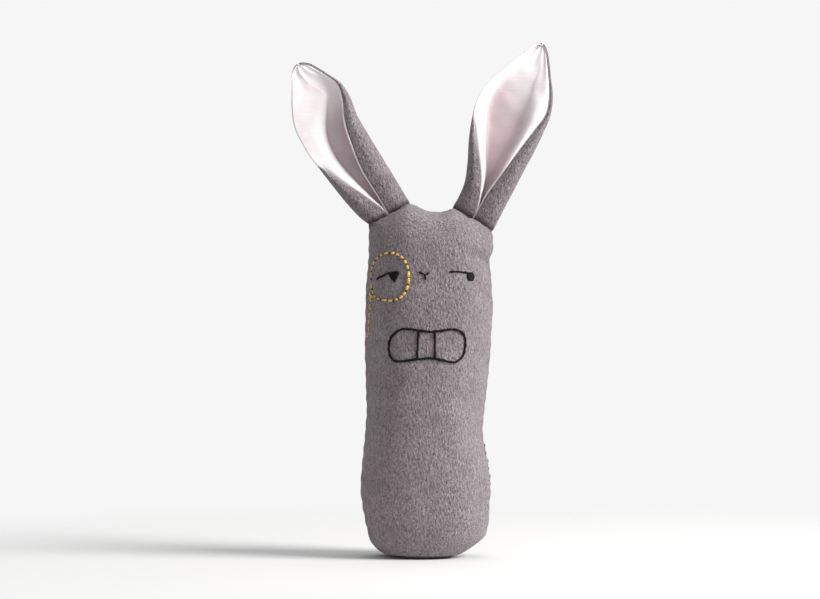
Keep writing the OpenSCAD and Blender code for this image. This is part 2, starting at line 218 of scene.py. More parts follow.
def lining_material():
    """Pinkish white cotton satin with fine cross threads, with painted shade where it is folded in."""
    m = Nodes("satin_lining", roughness=0.55, sheen=0.25, specular=0.35)
    rest = m.rest()
    cross = m.add("ShaderNodeTexWave", wave_type="BANDS", bands_direction="Z", Scale=0.55, Distortion=1.6,
                  Detail=2.0)
    m.link(rest, cross.inputs["Vector"])
    slub = m.noise(m.rest(scale=(0.25, 1.0, 1.6)), 0.9, detail=2.0)
    soft = m.noise(rest, 0.09, detail=2.0)
    base = m.ramp(soft, [(0.30, srgb(236, 224, 228)), (0.55, srgb(243, 237, 239)),
                         (0.75, srgb(246, 243, 244))])
    base = m.mix(m.ramp(slub, [(0.42, grey(0.0)), (0.72, grey(0.30))]), base, srgb(226, 214, 219))
    base = m.mix(m.math("MULTIPLY", cross.outputs["Fac"], 0.05), base, srgb(208, 194, 200))
    # Painted shade: the lining's colour is multiplied down to a brownish pink where the shade attribute
    # marks the ear's channel.
    deep = m.ramp(m.shade(), [(0.0, srgb(255, 255, 255)), (0.30, srgb(216, 205, 208)),
                              (0.60, srgb(176, 160, 163)), (0.90, srgb(104, 82, 82))])
    base = m.mix(1.0, base, deep, "MULTIPLY")
    height = m.math("ADD", m.math("MULTIPLY", cross.outputs["Fac"], 0.25), slub)
    normal = m.bump(height, 0.00012, 0.4)
    return m.finish(base, normal)


def thread_material(name, dark, light, roughness, specular):
    """Twisted embroidery thread: strands mixed between a dark and a light colour, partly the thread's own
    uneven tone and partly painted highlight and shade along the twist, with painted shade in the grooves
    between the plies.
    """
    m = Nodes(name, roughness=roughness, specular=specular)
    strands = m.noise(m.rest(), 2.6, detail=2.0, roughness=0.6)
    ply = m.noise(m.rest(scale=(1.0, 1.0, 1.0), turn=(0.6, 0.5, 0.4)), 1.1, detail=1.0)
    # Strands between the dark and the light colour: partly the thread's own uneven tone, partly painted
    # highlight and shade along the twist.
    colour = m.mix(m.ramp(strands, [(0.30, grey(0.0)), (0.70, grey(1.0))]), dark, light)
    # Painted shade in the grooves between the plies.
    colour = m.mix(m.ramp(ply, [(0.35, grey(0.35)), (0.60, grey(0.0))]), colour, dark)
    return m.finish(colour, m.bump(strands, 0.0001, 0.7))


def fibre_material():
    """White polyester filling."""
    m = Nodes("filling", roughness=0.9, sheen=0.3, specular=0.1)
    tufts = m.noise(m.rest(), 0.5, detail=4.0, roughness=0.7)
    return m.finish(m.ramp(tufts, [(0.3, srgb(222, 222, 220)), (0.7, srgb(244, 244, 242))]),
                    m.bump(tufts, 0.0006, 0.8))


WOOL = wool_material()
LINING = lining_material()
BLACK = thread_material("black_thread", srgb(3, 2, 3), srgb(22, 18, 21), 0.65, 0.18)
GOLD = thread_material("gold_thread", srgb(176, 122, 44), srgb(250, 212, 112), 0.40, 0.5)
# Painted shade: a brown-black thread for the small dots in the gaps of the monocle's gold rim, standing in
# for the shade in those gaps.
GAP_SHADE = thread_material("dark_thread", srgb(26, 17, 14), srgb(58, 40, 32), 0.7, 0.2)
SEAM = thread_material("seam_thread", srgb(96, 88, 93), srgb(136, 128, 133), 0.7, 0.2)
LINING_THREAD = thread_material("lining_thread", srgb(206, 194, 199), srgb(240, 232, 235), 0.6, 0.3)
FILLING = fibre_material()

# ---------------------------------------------------------------- mesh helpers


def mesh_object(name, points, faces, material, shade=None):
    """A mesh from points in millimetres, which it also keeps as the cloth's place at rest.

    shade is how much painted shade each point gets, from 0 to 1, set where it lies in a fold or crease.
    """
    data = bpy.data.meshes.new(name)
    data.from_pydata([tuple(p) for p in np.asarray(points) * MM], [], faces)
    obj = bpy.data.objects.new(name, data)
    bpy.context.scene.collection.objects.link(obj)
    data.materials.append(material)
    data.polygons.foreach_set("use_smooth", [True] * len(data.polygons))
    if shade is not None:
        depth = data.attributes.new("shade", "FLOAT", "POINT")
        depth.data.foreach_set("value", np.asarray(shade, np.float32))
    keep_rest(obj)
    return obj


def thicken(obj, thickness, offset):
    """Turns a sheet into a closed one of that thickness in millimetres."""
    solid = obj.modifiers.new("thickness", "SOLIDIFY")
    solid.thickness = thickness * MM
    solid.offset = offset
    solid.use_even_offset = False
    apply_modifiers(obj)
    keep_rest(obj)


def keep_rest(obj):
    """Stores each point's place at rest, in millimetres, for the materials to read."""
    data = obj.data
    place = data.attributes.get("rest_mm") or data.attributes.new("rest_mm", "FLOAT_VECTOR", "POINT")
    co = np.zeros(len(data.vertices) * 3, np.float32)
    data.vertices.foreach_get("co", co)
    place.data.foreach_set("vector", co / MM)


def grid_faces(rows, cols, wrap=False):
    """Quads of a grid of points, rows by cols, closed round its columns if wrap is true."""
    faces = []
    for r in range(rows - 1):
        for c in range(cols if wrap else cols - 1):
            d = (c + 1) % cols
            faces.append((r * cols + c, r * cols + d, (r + 1) * cols + d, (r + 1) * cols + c))
    return faces


def apply_modifiers(obj):
    """Turns the object's modifiers into its mesh."""
    graph = bpy.context.evaluated_depsgraph_get()
    data = bpy.data.meshes.new_from_object(obj.evaluated_get(graph))
    obj.modifiers.clear()
    obj.data = data


def smooth_curve(knots, values, at):
    """Catmull-Rom curve through values at knots, read at the places in at."""
    knots = np.asarray(knots, float)
    values = np.asarray(values, float)
    at = np.clip(np.asarray(at, float), knots[0], knots[-1])
    slopes = np.gradient(values, knots, axis=0)
    k = np.clip(np.searchsorted(knots, at, side="right") - 1, 0, len(knots) - 2)
    span = knots[k + 1] - knots[k]
    t = (at - knots[k]) / span
    if values.ndim > 1:
        span, t = span[:, None], t[:, None]
    h00, h10 = 2 * t**3 - 3 * t**2 + 1, t**3 - 2 * t**2 + t
    h01, h11 = -2 * t**3 + 3 * t**2, t**3 - t**2
    return h00 * values[k] + h10 * span * slopes[k] + h01 * values[k + 1] + h11 * span * slopes[k + 1]


def ease(value, start, end):
    """Smooth step of value from 0 at start to 1 at end."""
    share = np.clip((value - start) / (end - start), 0, 1)
    return share * share * (3 - 2 * share)


def wobble(points, size, seed):
    """Smooth random field between -1 and 1 at points, with lumps of about that size."""
    r = np.random.default_rng(seed)
    total = np.zeros(len(points))
    for _ in range(7):
        direction = r.normal(size=3)
        direction *= 2 * math.pi / (size * r.uniform(0.8, 1.9)) / np.linalg.norm(direction)
        total += np.sin(points @ direction + r.uniform(0, 2 * math.pi))
    return total / 4.0


# ---------------------------------------------------------------- ear shapes

EAR_ROWS = 96
LINING_COLUMNS = 56
WOOL_COLUMNS = 72
LINING_T = 0.45
WOOL_T = 1.0
TIP_ROUND = 2.4
TIP_ROWS = 12
TIP_TURN = 86
FOOT_HALF_WIDTH = 9

# Each ear's guide lines in its own frame. The two flat sizes are in metres. A row of stations is the
# distance up the ear, then the places across it of the left silhouette, left seam between wool and
# lining, left crease, right crease, right seam and right silhouette, then the depths of the left seam,
# the right seam, the channel's floor and the back
# In each ear, the entry after the slope (1 or -1) says which side of the lining's channel gets the more
# painted shade, and fold_top is how far up the ear, in millimetres, the painted shade reaches.
LEFT_EAR = {
    "body": "left_ear", "foot": (-14.3, 133.7), "slope": -28.5, "shaded_side": 1, "fold_top": 55.0,
    "flat": (0.041, 0.072), "lining_flat": (0.026, 0.072),
    "stations": np.array([
        (-2.2, -8.4, -0.8, -0.4, 0.0, 0.2, 8.4, -0.9, -1.0, -0.3, 0.9),
        (0.0, -9.0, -0.9, -0.5, -0.3, -0.1, 9.0, -1.9, -2.1, -0.6, 1.5),
        (3.0, -10.4, -1.6, -0.9, -0.5, -0.3, 8.9, -2.9, -3.1, -0.5, 2.0),
        (10.0, -12.4, -5.2, -3.0, -1.0, -0.6, 8.6, -3.8, -4.3, -0.2, 2.5),
        (20.0, -14.3, -10.8, -5.8, -1.8, -1.1, 8.1, -4.3, -5.4, 0.2, 2.9),
        (30.0, -15.8, -15.2, -7.6, -1.0, 0.0, 7.6, -4.0, -5.8, 0.5, 3.0),
        (40.0, -16.8, -16.3, -6.0, 1.0, 2.1, 7.3, -3.0, -5.6, 0.4, 2.9),
        (48.0, -16.2, -15.7, -1.6, 4.1, 5.3, 8.3, -2.2, -4.6, 0.1, 2.6),
        (54.0, -13.9, -13.4, 0.4, 5.2, 6.4, 7.6, -1.6, -3.0, -0.4, 2.2),
        (60.0, -10.6, -10.1, -3.6, 1.6, 3.9, 4.5, -1.2, -1.7, -0.8, 1.6),
        (64.5, -8.2, -7.7, -4.6, -1.6, 1.2, 1.7, -0.9, -1.1, -0.8, 1.2),
        (67.6, -6.6, -6.2, -4.4, -2.2, -0.8, -0.4, -0.6, -0.6, -0.6, 0.8),
    ]),
}
RIGHT_EAR = {
    "body": "right_ear", "foot": (18.35, 131.75), "slope": 30.0, "shaded_side": -1, "fold_top": 60.0,
    "flat": (0.046, 0.076), "lining_flat": (0.029, 0.076),
    "stations": np.array([
        (-2.2, -8.4, -0.4, -0.2, 0.1, 0.3, 8.4, -0.9, -1.0, -0.3, 0.9),
        (0.0, -9.0, -0.4, -0.2, 0.0, 0.2, 9.0, -1.9, -2.1, -0.6, 1.5),
        (4.0, -9.1, -0.7, -0.5, -0.1, 0.2, 8.9, -3.1, -3.3, -0.5, 2.0),
        (10.0, -9.8, -2.6, -1.7, -0.6, 0.1, 8.6, -4.1, -4.3, -0.1, 2.5),
        (18.0, -12.9, -7.6, -4.4, 0.0, 0.9, 8.3, -4.9, -5.1, 0.3, 2.9),
        (26.0, -16.9, -13.9, -9.0, -0.2, 1.7, 7.9, -5.2, -5.4, 0.6, 3.1),
        (34.0, -20.0, -19.2, -13.0, -0.6, 2.6, 7.7, -4.6, -5.0, 0.7, 3.1),
        (42.0, -21.8, -21.3, -16.4, -1.6, 3.7, 7.1, -3.6, -4.2, 0.6, 2.9),
        (50.0, -21.2, -20.7, -16.6, -4.0, 4.4, 6.0, -2.6, -3.2, 0.2, 2.6),
        (57.0, -18.8, -18.3, -14.6, -6.0, 1.8, 3.1, -1.9, -2.2, -0.3, 2.1),
        (64.0, -16.0, -15.5, -12.2, -7.0, -2.8, -2.2, -1.3, -1.4, -0.6, 1.5),
        (68.6, -14.1, -13.6, -11.6, -8.8, -6.2, -5.7, -0.9, -1.0, -0.7, 1.1),
        (71.8, -12.8, -12.4, -11.0, -9.6, -8.6, -8.2, -0.6, -0.6, -0.6, 0.8),
    ]),
}


def ear_frame(ear):
    """Foot of the ear and its directions across, up and forward, in the row frame."""
    slope = math.radians(ear["slope"])
    across = np.array([math.cos(slope), 0, -math.sin(slope)])
    up = np.array([math.sin(slope), 0, math.cos(slope)])
    return np.array([ear["foot"][0], 0, ear["foot"][1]]), across, up


def ear_to_frame(ear, grid):
    """Grid of (across, depth, up) points as points in the row frame."""
    foot, across, up = ear_frame(ear)
    return foot + grid[..., 0:1] * across + grid[..., 1:2] * np.array([0, 1, 0]) + grid[..., 2:3] * up


# ---------------------------------------------------------------- body

# Outline of the stuffed body from the front: height, left edge, right edge
BODY_EDGES = np.array([
    (0.0, -11.0, 9.5), (0.6, -13.6, 11.2), (2.3, -17.2, 14.4), (5.2, -21.0, 18.9), (8.0, -22.4, 22.4),
    (12, -23.4, 23.9), (20, -25.1, 24.7), (28, -25.8, 24.9), (36, -25.3, 24.2), (47, -24.2, 22.4),
    (56, -23.2, 22.7), (65, -23.5, 23.6), (75, -23.7, 24.6), (85, -23.8, 25.4), (96, -23.5, 26.0),
    (104, -23.3, 25.7), (112, -22.9, 25.2), (115.6, -22.7, 24.9), (119.5, -22.5, 26.2), (128, -22.4, 25.8),
])
# Half depth of the body by height, up to the shoulder
BODY_DEPTH = np.array([
    (0.0, 10.5), (0.6, 12.6), (2.3, 15.2), (5.2, 17.0), (8.0, 17.9), (12, 18.7), (20, 19.5), (36, 20.0),
    (60, 20.0), (84, 19.6), (100, 18.8), (112, 17.6),
])
SHOULDER = 112.0
# Ridge of the top seam: the left ear's seam, the dip between the ears, the right ear's seam
RIDGE = np.array([
    (-26, 127.3), (-22.3, 129.4), (-14.3, 133.7), (-7.2, 137.5), (-3.5, 136.6), (0.8, 134.6), (5.5, 134.3),
    (10.4, 135.6), (18.4, 131.7), (26.3, 127.4), (29, 126.2),
])
SECTION_POWER = 2.3
HALF_COLUMNS = 72
BASE_RINGS = 5
LOW_RINGS = 96
TOP_RINGS = 34
ROW_CROWDING = 1.35
BASE_HOLE = 0.15
TOP_POWERS = (2.3, 0.56)
SEAM_HALF = 0.2
PANEL_T = 1.1
TOP_RISE = 15.6


def body_section(height):
    """Left edge, right edge and half depth at heights below the shoulder."""
    edges = smooth_curve(BODY_EDGES[:, 0], BODY_EDGES[:, 1:], height)
    return edges[:, 0], edges[:, 1], smooth_curve(BODY_DEPTH[:, 0], BODY_DEPTH[:, 1], height)


def body_points(side):
    """Grid of points over the front (side -1) or back (side 1) half of the body, base to ridge."""
    turn = np.linspace(0, math.pi, HALF_COLUMNS + 1)
    across = np.sign(np.cos(turn)) * np.abs(np.cos(turn)) ** (2 / SECTION_POWER)
    deep = np.sin(turn) ** (2 / SECTION_POWER)
    low = np.linspace(0, 1, LOW_RINGS) ** ROW_CROWDING * SHOULDER
    rows = []
    left, right, depth = body_section(low)
    for share in np.linspace(BASE_HOLE, 1, BASE_RINGS + 1)[:-1]:
        x = (left[0] + right[0]) / 2 + (right[0] - left[0]) / 2 * across * (0.8 + 0.2 * share)
        rows.append(np.stack([x, side * (SEAM_HALF + depth[0] * deep * share), 0 * x], axis=1))
    for z, a, b, d in zip(low, left, right, depth):
        x = (a + b) / 2 + (b - a) / 2 * across
        rows.append(np.stack([x, side * (SEAM_HALF + d * deep), np.full_like(x, z)], axis=1))
    for share in np.sin(np.linspace(0, 1, TOP_RINGS + 1)[1:] * math.pi / 2):
        level = SHOULDER + share * TOP_RISE
        edges = smooth_curve(BODY_EDGES[:, 0], BODY_EDGES[:, 1:], [level])[0]
        x = edges.mean() + (edges[1] - edges[0]) / 2 * across
        ridge = np.interp(x, RIDGE[:, 0], RIDGE[:, 1])
        d = depth[-1] * (1 - share ** TOP_POWERS[0]) ** TOP_POWERS[1]
        z = SHOULDER + (ridge - SHOULDER) * share
        rows.append(np.stack([x, side * (SEAM_HALF + d * deep), z], axis=1))
    return np.array(rows)


PUCKER_PITCH = 5.3
TUCK_DEPTH = 1.1
TUCK_HEIGHT = 115.8


def stuffing_lumps(points):
    """Soft lumps of the filling, puckers along the side seams and the tuck under the right ear."""
    flat = points.reshape(-1, 3)
    x, y, z = flat.T
    inward = np.stack([-x * 0.6, -y, np.zeros_like(x)], axis=1)
    inward /= np.linalg.norm(inward, axis=1)[:, None] + 1e-9
    lumps = 0.32 * wobble(flat, 26, 3) + 0.14 * wobble(flat, 9, 4)
    near_seam = np.exp(-((np.abs(y) - SEAM_HALF) / 2.6) ** 2)
    puckers = near_seam * (0.12 + 0.12 * np.sin(z * 2 * math.pi / PUCKER_PITCH + 1.5 * np.sin(z / 9)))
    tuck = TUCK_DEPTH * np.exp(-((z - TUCK_HEIGHT + 0.25 * (x - 20)) / 1.7) ** 2)
    tuck = tuck * np.exp(-((x - 26) / 5.0) ** 2)
    amount = (lumps + puckers + tuck * ease(-y, 0.5, 4.0)) * np.clip(z / 6.0, 0, 1)
    return (flat + inward * amount[:, None]).reshape(points.shape)


SIM_SCALE = 8.0
SIM_FRAMES = 20
SIM_STEP = 2
SIM_CAP = 1.3


def puffed(front_points, back_points):
    """Both panels as cloth sewn round their edges and blown out by the filling, as grids of points."""
    ring = np.concatenate([front_points, back_points[:, -2:0:-1]], axis=1)
    coarse = ring[::SIM_STEP, ::SIM_STEP]
    rows, cols = coarse.shape[:2]
    half = (front_points.shape[1] - 1) // SIM_STEP
    bag = mesh_object("bag", coarse.reshape(-1, 3) * SIM_SCALE, grid_faces(rows, cols, wrap=True), WOOL)
    bag.data.flip_normals()
    sewn = bag.vertex_groups.new(name="sewn")
    index = np.arange(rows * cols).reshape(rows, cols)
    held = np.concatenate([index[:, 0], index[:, half], index[-1], index[:BASE_RINGS].ravel()])
    sewn.add([int(i) for i in held], 1.0, "REPLACE")
    cloth = bag.modifiers.new("cloth", "CLOTH")
    cloth.settings.quality = 6
    cloth.settings.mass = 0.3
    cloth.settings.tension_stiffness = 15
    cloth.settings.compression_stiffness = 15
    cloth.settings.bending_stiffness = 0.4
    cloth.settings.shrink_min = -0.025
    cloth.settings.use_pressure = True
    cloth.settings.uniform_pressure_force = 4.0
    cloth.settings.vertex_group_mass = "sewn"
    cloth.settings.effector_weights.gravity = 0
    cloth.collision_settings.use_collision = False
    for number in range(1, SIM_FRAMES + 1):
        bpy.context.scene.frame_set(number)
    apply_modifiers(bag)
    co = np.zeros(rows * cols * 3)
    bag.data.vertices.foreach_get("co", co)
    move = co.reshape(rows, cols, 3) / MM / SIM_SCALE - coarse
    bpy.context.scene.frame_set(1)
    bpy.data.objects.remove(bag)
    far = np.linalg.norm(move, axis=2, keepdims=True)
    move *= np.minimum(1, SIM_CAP / (far + 1e-9))
    fine = smooth_curve(np.arange(rows) * SIM_STEP, move.reshape(rows, -1), np.arange(len(ring)))
    fine = fine.reshape(len(ring), cols, 3)
    fine = np.concatenate([fine, fine[:, :1]], axis=1).transpose(1, 0, 2)
    fine = fine.reshape(cols + 1, -1)
    fine = smooth_curve(np.arange(cols + 1) * SIM_STEP, fine, np.arange(ring.shape[1]))
    ring = ring + fine.reshape(ring.shape[1], len(ring), 3).transpose(1, 0, 2)
    last = front_points.shape[1]
    new_back = np.concatenate([ring[:, :1], ring[:, :last - 2:-1]], axis=1)
    new_back[:, [0, -1], 1] = SEAM_HALF
    return ring[:, :last], new_back


def ear_seam_distance(points):
    """How far points are from the lines where the ears meet the body."""
    nearest = np.full(len(points), np.inf)
    for ear in (LEFT_EAR, RIGHT_EAR):
        foot, across, _ = ear_frame(ear)
        for u in np.linspace(-FOOT_HALF_WIDTH, FOOT_HALF_WIDTH, 37):
            for depth in (-1.9, 1.6):
                place = foot + across * u + np.array([0, depth, 0])
                nearest = np.minimum(nearest, np.linalg.norm(points - place, axis=1))
    return nearest


def body_panel(name, points, node):
    """One wool panel of the body as a closed sheet."""
    flat = points.reshape(-1, 3)
    # Painted shade: darker wool in the creases where the ears meet the body and in the grooves along the
    # side seams.
    seam = np.exp(-((np.abs(flat[:, 1]) - SEAM_HALF) / 0.7) ** 2)
    shade = np.maximum(0.85 * np.exp(-(ear_seam_distance(flat) / 1.1) ** 2), 0.45 * seam)
    obj = mesh_object(name, flat, grid_faces(*points.shape[:2]), WOOL, shade=shade)
    if flat[:, 1].mean() < 0:
        obj.data.flip_normals()
    thicken(obj, PANEL_T, -1)
    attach(obj, "torso")
    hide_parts(node)
    return obj


def make_body():
    front_points, back_points = (stuffing_lumps(body_points(side)) for side in (-1, 1))
    front_points, back_points = puffed(front_points, back_points)
    panel = body_panel("front_panel", front_points, "body_front_panel")
    body_panel("back_panel", back_points, "body_back_panel")
    make_filling()
    make_seam_thread(front_points)
    return panel


def make_filling():
    """The fibre filling, a little smaller than the panels and lumpy."""
    shrink, lift = np.array([0.885, 0.86, 0.955]), np.array([0, 0, 2.3])
    halves = [body_points(side) for side in (-1, 1)]
    ring = np.concatenate([halves[0], halves[1][:, -2:0:-1]], axis=1)[::2, ::2] * shrink + lift
    rows, cols = ring.shape[:2]
    flat = ring.reshape(-1, 3)
    outward = flat * np.array([1, 1, 0])
    outward /= np.linalg.norm(outward, axis=1)[:, None] + 1e-9
    flat = flat - outward * (0.5 + 0.5 * wobble(flat, 7, 11))[:, None] * np.clip(flat[:, 2:] / 8, 0, 1)
    faces = grid_faces(rows, cols, wrap=True)
    faces += [tuple(range(cols))[::-1], tuple((rows - 1) * cols + i for i in range(cols))]
    obj = mesh_object("fibre_filling", flat, faces, FILLING)
    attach(obj, "torso")
    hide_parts("body_stuffing")


def resampled(route, step):
    """Points along a route at an even spacing."""
    run = np.concatenate([[0], np.cumsum(np.linalg.norm(np.diff(route, axis=0), axis=1))])
    at = np.arange(0, run[-1], step)
    return np.stack([np.interp(at, run, route[:, k]) for k in range(3)], axis=1)


SEAM_MIDDLE = (0.8, 0, 66.0)
SEAM_INSET = 0.75
SEAM_PITCH = 0.55
SEAM_R = 0.2
SEAM_SWING = 0.22
HAND_STITCHES = 8
HAND_START = 21.5
HAND_PITCH = 3.0


def make_seam_thread(front_points):
    """Lockstitch in the groove round the body, and the ladder of hand stitches on the right side."""
    start = BASE_RINGS
    route = np.concatenate([front_points[start:, 0], front_points[-1, 1:], front_points[-2:start:-1, -1]])
    inward = np.array(SEAM_MIDDLE) - route
    inward[:, 1] = 0
    route = route + inward / np.linalg.norm(inward, axis=1)[:, None] * SEAM_INSET
    route = resampled(route, SEAM_PITCH)
    route[:, 1] = SEAM_SWING * np.where(np.arange(len(route)) // 2 % 2, 1, -1)
    sideways = np.tile(np.array([0.0, 1.0, 0.0]), (len(route), 1))
    lockstitch = tube(route, sideways, np.full(len(route), SEAM_R))
    stitches_object("seam_stitching", [lockstitch], SEAM, "body_seam_thread")
    ladder = []
    for k in range(HAND_STITCHES):
        z = HAND_START + HAND_PITCH * k
        t = np.linspace(0, 1, 9)
        edge = np.interp(z, front_points[BASE_RINGS:, 0, 2], front_points[BASE_RINGS:, 0, 0])
        arch = 0.02 - 0.6 * (2 * t - 1) ** 4
        line = np.stack([edge + arch, -1.5 + 3.0 * t, z + 1.3 * t], axis=1)
        out = np.tile(np.array([1.0, 0.0, 0.0]), (len(line), 1))
        ladder.append(tube(line, out, np.full(len(line), SEAM_R)))
    stitches_object("hand_stitches", ladder, SEAM, "closing_stitches")


# ---------------------------------------------------------------- stitches

TUBE_SIDES = 10
FRONT_DEPTH = 12


def on_front(x, z):
    """Point of the front panel that the camera sees at x and z of the side seams' plane, and its normal."""
    eye = bpy.context.scene.camera.location
    hit, normal, _, _ = front_surface.ray_cast(eye, Vector((x * MM, 0, z * MM)) - eye)
    if hit is None:
        hit, normal, _, _ = front_surface.find_nearest(Vector((x * MM, -FRONT_DEPTH * MM, z * MM)))
    if normal.y > 0:
        normal = -normal
    return np.array(hit) / MM, np.array(normal)


def tube(points, normals, radii, flat=0.85, twist=1.3, ply=0.10):
    """Twisted thread along points, each with the direction square to the cloth, in mm."""
    points, normals = np.asarray(points), np.asarray(normals)
    along = np.gradient(points, axis=0)
    along /= np.linalg.norm(along, axis=1)[:, None] + 1e-12
    across = np.cross(along, normals)
    across /= np.linalg.norm(across, axis=1)[:, None] + 1e-12
    up = np.cross(across, along)
    length = np.concatenate([[0], np.cumsum(np.linalg.norm(np.diff(points, axis=0), axis=1))])
    turn = np.linspace(0, 2 * math.pi, TUBE_SIDES, endpoint=False)
    rings = []
    for p, u, a, r, s in zip(points, up, across, radii, length):
        grow = r * (1 + ply * np.cos(2 * (turn - s * twist)))
        rings.append(p + grow[:, None] * (np.cos(turn)[:, None] * u * flat + np.sin(turn)[:, None] * a))
    rings = np.array(rings)
    faces = grid_faces(len(rings), TUBE_SIDES, wrap=True)
    last = (len(rings) - 1) * TUBE_SIDES
    faces.append(tuple(range(TUBE_SIDES))[::-1])
    faces.append(tuple(last + i for i in range(TUBE_SIDES)))
    return rings.reshape(-1, 3), [f[::-1] for f in faces]


def stitch(a, b, radius, rise=0.35, sink=0.25, step=0.22, bow=0.0):
    """A single stitch between two places on the front, diving into the cloth at both ends."""
    a, b = np.array(a, float), np.array(b, float)
    length = np.linalg.norm(b - a)
    share = np.linspace(0, 1, max(7, int(length / step)))
    side = np.array([-(b - a)[1], (b - a)[0]]) / max(length, 1e-6)
    points, normals = [], []
    for s in share:
        x, z = a + (b - a) * s + side * bow * math.sin(math.pi * s)
        place, normal = on_front(x, z)
        arch = 1 - (2 * s - 1) ** 4
        points.append(place + normal * (radius * rise + (radius + sink) * (arch - 1) + radius * 0.35))
        normals.append(normal)
    ends = np.sqrt(np.clip(1 - (2 * share - 1) ** 6, 0.12, 1))
    return tube(points, normals, radius * ends)


def stitches_object(name, parts, material, node):
    """One object on the torso from many tubes."""
    points, faces, start = [], [], 0
    for p, f in parts:
        points.append(p)
        faces += [tuple(i + start for i in face) for face in f]
        start += len(p)
    obj = mesh_object(name, np.concatenate(points), faces, material)
    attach(obj, "torso")
    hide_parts(node)
    return obj


def back_stitches(route, radius, length, jitter=0.13, overlap=0.35):
    """Back stitches that follow a route of x and z, each slightly overlapping the next."""
    route = np.asarray(route, float)
    run = np.concatenate([[0], np.cumsum(np.linalg.norm(np.diff(route, axis=0), axis=1))])
    count = max(1, round(run[-1] / length))
    cuts = np.linspace(0, run[-1], count + 1)
    parts = []
    for start, end in zip(cuts[:-1], cuts[1:]):
        span = np.clip([start - overlap, end + overlap], 0, run[-1])
        ends = np.stack([np.interp(span, run, route[:, 0]), np.interp(span, run, route[:, 1])], axis=1)
        middle = np.array([np.interp((start + end) / 2, run, route[:, k]) for k in (0, 1)])
        chord = (ends[0] + ends[1]) / 2
        side = np.array([-(ends[1] - ends[0])[1], (ends[1] - ends[0])[0]])
        bow = float((middle - chord) @ side / max(np.linalg.norm(side), 1e-6))
        ends += rng.uniform(-jitter, jitter, ends.shape)
        parts.append(stitch(ends[0], ends[1], radius * rng.uniform(0.86, 1.12), bow=bow))
    return parts


def closed_route(points, steps=10):
    """Smooth closed line through points of x and z."""
    points = np.array(points, float)
    loop = np.concatenate([points[-2:], points, points[:3]])
    knots = np.arange(len(loop)) - 2.0
    return smooth_curve(knots, loop, np.linspace(0, len(points), len(points) * steps + 1))


def open_route(points, steps=8):
    """Smooth open line through points of x and z."""
    points = np.array(points, float)
    at = np.linspace(0, len(points) - 1, len(points) * steps)
    return smooth_curve(np.arange(len(points)), points, at)


# ---------------------------------------------------------------- face

BLACK_R = 0.47
BLACK_STITCH = 2.6
LID_STITCH = 3.0
GOLD_R = 0.52

MOUTH = [
    (-10.2, 88.3), (-6.0, 88.6), (-1.0, 87.8), (4.0, 87.8), (9.6, 88.5), (13.6, 87.6), (15.3, 84.5),
    (14.8, 79.7), (13.0, 76.6), (9.8, 75.7), (4.5, 76.9), (0.0, 77.2), (-5.0, 76.7), (-10.0, 75.9),
    (-13.0, 76.8), (-14.3, 80.2), (-13.8, 84.8),
]
TEETH = [[(-2.9, 87.8), (-3.2, 83.0), (-3.4, 77.2)], [(3.4, 87.7), (3.5, 83.0), (3.4, 77.4)]]
LEFT_LID = [(-19.4, 108.0), (-17.2, 109.2), (-14.8, 110.3), (-12.6, 110.7), (-10.6, 110.8)]
LEFT_PUPIL = [(-14.8, 110.3), (-10.3, 110.8), (-10.9, 109.2), (-12.0, 107.2), (-13.2, 107.7), (-14.4, 109.3)]
RIGHT_LID = [(8.9, 110.9), (11.0, 111.1), (13.0, 111.0), (15.2, 110.7), (17.2, 110.3)]
RIGHT_PUPIL_MIDDLE = (17.4, 109.0)
RIGHT_PUPIL_R = 1.62
NOSE = [[(-2.8, 111.1), (-1.7, 110.4), (-0.4, 110.0)], [(1.2, 110.8), (0.5, 110.2), (-0.1, 109.9)],
        [(-0.3, 110.1), (-0.3, 108.9), (-0.1, 107.8)]]
MONOCLE_MIDDLE = (-14.0, 109.0)
MONOCLE_HALF = (7.3, 9.3)
MONOCLE_POWER = 2.25
MONOCLE_CORNER = 1.8
CORD_KNOT = [(-21.7, 102.7), (-20.7, 101.2)]
MONOCLE_STITCHES = 23
DARK_HALF_TURN = 0.03
CORD_SHARE = 0.72
CORD = [(-21.2, 101.9), (-21.5, 98.4), (-21.8, 95.2), (-22.0, 92.4), (-22.1, 89.8), (-22.2, 87.3),
        (-23.2, 84.2)]


def satin_fill(outline, pitch, radius):
    """Side by side stitches across an outline of x and z, with their ends on it."""
    outline = np.array(outline)
    closed = np.concatenate([outline, outline[:1]])
    parts = []
    low, high = outline[:, 1].min(), outline[:, 1].max()
    for z in np.arange(high - pitch / 2, low, -pitch):
        cuts = []
        for (xa, za), (xb, zb) in zip(closed[:-1], closed[1:]):
            if (za - z) * (zb - z) < 0:
                cuts.append(xa + (xb - xa) * (z - za) / (zb - za))
        if len(cuts) >= 2 and max(cuts) - min(cuts) > radius:
            parts.append(stitch((min(cuts), z), (max(cuts), z + 0.05), radius, rise=0.7))
    return parts


